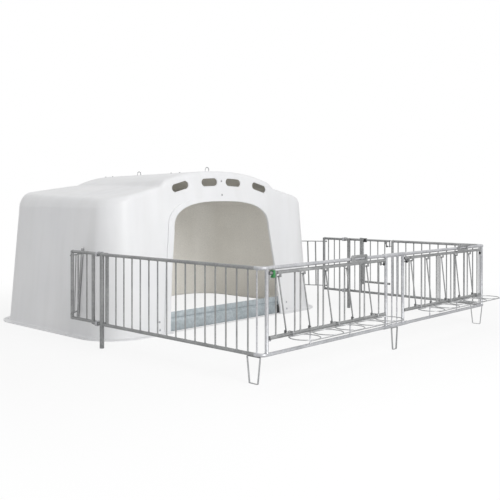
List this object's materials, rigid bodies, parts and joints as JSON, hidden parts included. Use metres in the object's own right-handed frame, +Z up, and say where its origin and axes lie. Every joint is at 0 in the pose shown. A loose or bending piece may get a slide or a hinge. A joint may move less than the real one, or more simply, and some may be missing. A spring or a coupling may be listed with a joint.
{
  "type": "group calf hutch with pen",
  "caption": "White moulded group calf hutch with a galvanised pen: feed gates with tilting neck bars, bucket rings and a man door.",
  "frame": {"origin": "on the ground in the middle of the whole object's box", "axes": "+Z up, -Y towards the feed front, +X to the right seen from the front"},
  "size_m": [4.2518, 5.3608, 2.0442],
  "materials": {
    "shell": "satin",
    "board": "satin",
    "galvanised": "satin",
    "bright_zinc": "satin",
    "steel": "satin",
    "black_plastic": "matte",
    "green_plastic": "matte"
  },
  "bodies": {
    "hutch_and_pen": {"hutch_shell": "shell", "lifting_eye_front": "steel", "lifting_eye_rear": "steel", "roof_strap_front": "steel", "roof_strap_rear": "steel", "front_stiffener": "steel", "board_guide_left": "black_plastic", "board_guide_right": "black_plastic", "left_side_panel": "galvanised", "right_side_panel": "galvanised", "left_extension": "galvanised", "right_extension": "galvanised", "left_wall_link": "galvanised", "right_wall_link": "galvanised", "left_clamp_top": "bright_zinc", "left_clamp_bottom": "bright_zinc", "right_clamp_top": "bright_zinc", "right_clamp_bottom": "bright_zinc", "left_front_frame": "bright_zinc", "right_front_frame": "bright_zinc", "centre_frame": "bright_zinc", "left_foot": "steel", "right_foot": "steel", "centre_foot": "steel", "right_hinge_cap": "black_plastic"},
    "left_gate": {"left_gate": "galvanised", "left_bucket_rack": "steel", "left_gate_plug": "black_plastic", "left_gate_clip": "green_plastic"},
    "right_gate": {"right_gate": "galvanised", "right_bucket_rack": "steel"},
    "left_lock_slide": {"left_lock_slide": "galvanised"},
    "left_neck_bar_1": {"left_neck_bar_1": "galvanised"},
    "left_neck_bar_2": {"left_neck_bar_2": "galvanised"},
    "left_neck_bar_3": {"left_neck_bar_3": "galvanised"},
    "left_neck_bar_4": {"left_neck_bar_4": "galvanised"},
    "left_neck_bar_5": {"left_neck_bar_5": "galvanised"},
    "left_gate_bolt": {"left_gate_bolt": "steel", "left_gate_knob": "black_plastic"},
    "right_lock_slide": {"right_lock_slide": "galvanised"},
    "right_neck_bar_1": {"right_neck_bar_1": "galvanised"},
    "right_neck_bar_2": {"right_neck_bar_2": "galvanised"},
    "right_neck_bar_3": {"right_neck_bar_3": "galvanised"},
    "right_neck_bar_4": {"right_neck_bar_4": "galvanised"},
    "right_neck_bar_5": {"right_neck_bar_5": "galvanised"},
    "right_gate_bolt": {"right_gate_bolt": "steel", "right_gate_knob": "black_plastic"},
    "man_door": {"man_door": "galvanised", "man_door_block": "black_plastic"},
    "man_door_bolt": {"man_door_bolt": "steel", "man_door_knob": "black_plastic"},
    "kick_board": {"kick_board": "board"}
  },
  "joints": [
    {"name": "left_gate_swing", "type": "hinge", "parent": "hutch_and_pen", "child": "left_gate", "pos_m": [-1.998, -2.37096, 0.397], "axis": [0, 0, -1], "range_deg": [0, 100]},
    {"name": "left_lock_slide_move", "type": "slide", "parent": "left_gate", "child": "left_lock_slide", "axis": [1, 0, 0], "range_m": [0, 0.1035]},
    {"name": "left_neck_bar_1_tilt", "type": "hinge", "parent": "left_gate", "child": "left_neck_bar_1", "pos_m": [-1.78, -2.37096, 0.427], "axis": [0, 1, 0], "range_deg": [0, 11.79]},
    {"name": "left_neck_bar_2_tilt", "type": "hinge", "parent": "left_gate", "child": "left_neck_bar_2", "pos_m": [-1.44, -2.37096, 0.427], "axis": [0, 1, 0], "range_deg": [0, 11.79]},
    {"name": "left_neck_bar_3_tilt", "type": "hinge", "parent": "left_gate", "child": "left_neck_bar_3", "pos_m": [-1.1, -2.37096, 0.427], "axis": [0, 1, 0], "range_deg": [0, 11.79]},
    {"name": "left_neck_bar_4_tilt", "type": "hinge", "parent": "left_gate", "child": "left_neck_bar_4", "pos_m": [-0.76, -2.37096, 0.427], "axis": [0, 1, 0], "range_deg": [0, 11.79]},
    {"name": "left_neck_bar_5_tilt", "type": "hinge", "parent": "left_gate", "child": "left_neck_bar_5", "pos_m": [-0.42, -2.37096, 0.427], "axis": [0, 1, 0], "range_deg": [0, 11.79]},
    {"name": "left_gate_bolt_slide", "type": "slide", "parent": "left_gate", "child": "left_gate_bolt", "axis": [1, 0, 0], "range_m": [0, 0.02]},
    {"name": "right_gate_swing", "type": "hinge", "parent": "hutch_and_pen", "child": "right_gate", "pos_m": [1.998, -2.37096, 0.397], "axis": [0, 0, 1], "range_deg": [0, 100]},
    {"name": "right_lock_slide_move", "type": "slide", "parent": "right_gate", "child": "right_lock_slide", "axis": [1, 0, 0], "range_m": [0, 0.1035]},
    {"name": "right_neck_bar_1_tilt", "type": "hinge", "parent": "right_gate", "child": "right_neck_bar_1", "pos_m": [0.44, -2.37096, 0.427], "axis": [0, 1, 0], "range_deg": [0, 11.79]},
    {"name": "right_neck_bar_2_tilt", "type": "hinge", "parent": "right_gate", "child": "right_neck_bar_2", "pos_m": [0.78, -2.37096, 0.427], "axis": [0, 1, 0], "range_deg": [0, 11.79]},
    {"name": "right_neck_bar_3_tilt", "type": "hinge", "parent": "right_gate", "child": "right_neck_bar_3", "pos_m": [1.12, -2.37096, 0.427], "axis": [0, 1, 0], "range_deg": [0, 11.79]},
    {"name": "right_neck_bar_4_tilt", "type": "hinge", "parent": "right_gate", "child": "right_neck_bar_4", "pos_m": [1.46, -2.37096, 0.427], "axis": [0, 1, 0], "range_deg": [0, 11.79]},
    {"name": "right_neck_bar_5_tilt", "type": "hinge", "parent": "right_gate", "child": "right_neck_bar_5", "pos_m": [1.8, -2.37096, 0.427], "axis": [0, 1, 0], "range_deg": [0, 11.79]},
    {"name": "right_gate_bolt_slide", "type": "slide", "parent": "right_gate", "child": "right_gate_bolt", "axis": [-1, 0, 0], "range_m": [0, 0.02]},
    {"name": "man_door_swing", "type": "hinge", "parent": "hutch_and_pen", "child": "man_door", "pos_m": [2.1, -0.53296, 0.406], "axis": [0, 0, 1], "range_deg": [0, 95]},
    {"name": "man_door_bolt_slide", "type": "slide", "parent": "man_door", "child": "man_door_bolt", "axis": [0, -1, 0], "range_m": [0, 0.02]},
    {"name": "kick_board_lift", "type": "slide", "parent": "hutch_and_pen", "child": "kick_board", "axis": [0, 0.0792, 0.9969], "range_m": [0, 0.25]}
  ],
  "couplings": [
    {"joint": "left_neck_bar_1_tilt", "follows": "left_lock_slide_move", "rad_per_m": 1.9876},
    {"joint": "left_neck_bar_2_tilt", "follows": "left_lock_slide_move", "rad_per_m": 1.9876},
    {"joint": "left_neck_bar_3_tilt", "follows": "left_lock_slide_move", "rad_per_m": 1.9876},
    {"joint": "left_neck_bar_4_tilt", "follows": "left_lock_slide_move", "rad_per_m": 1.9876},
    {"joint": "left_neck_bar_5_tilt", "follows": "left_lock_slide_move", "rad_per_m": 1.9876},
    {"joint": "right_neck_bar_1_tilt", "follows": "right_lock_slide_move", "rad_per_m": 1.9876},
    {"joint": "right_neck_bar_2_tilt", "follows": "right_lock_slide_move", "rad_per_m": 1.9876},
    {"joint": "right_neck_bar_3_tilt", "follows": "right_lock_slide_move", "rad_per_m": 1.9876},
    {"joint": "right_neck_bar_4_tilt", "follows": "right_lock_slide_move", "rad_per_m": 1.9876},
    {"joint": "right_neck_bar_5_tilt", "follows": "right_lock_slide_move", "rad_per_m": 1.9876}
  ]
}
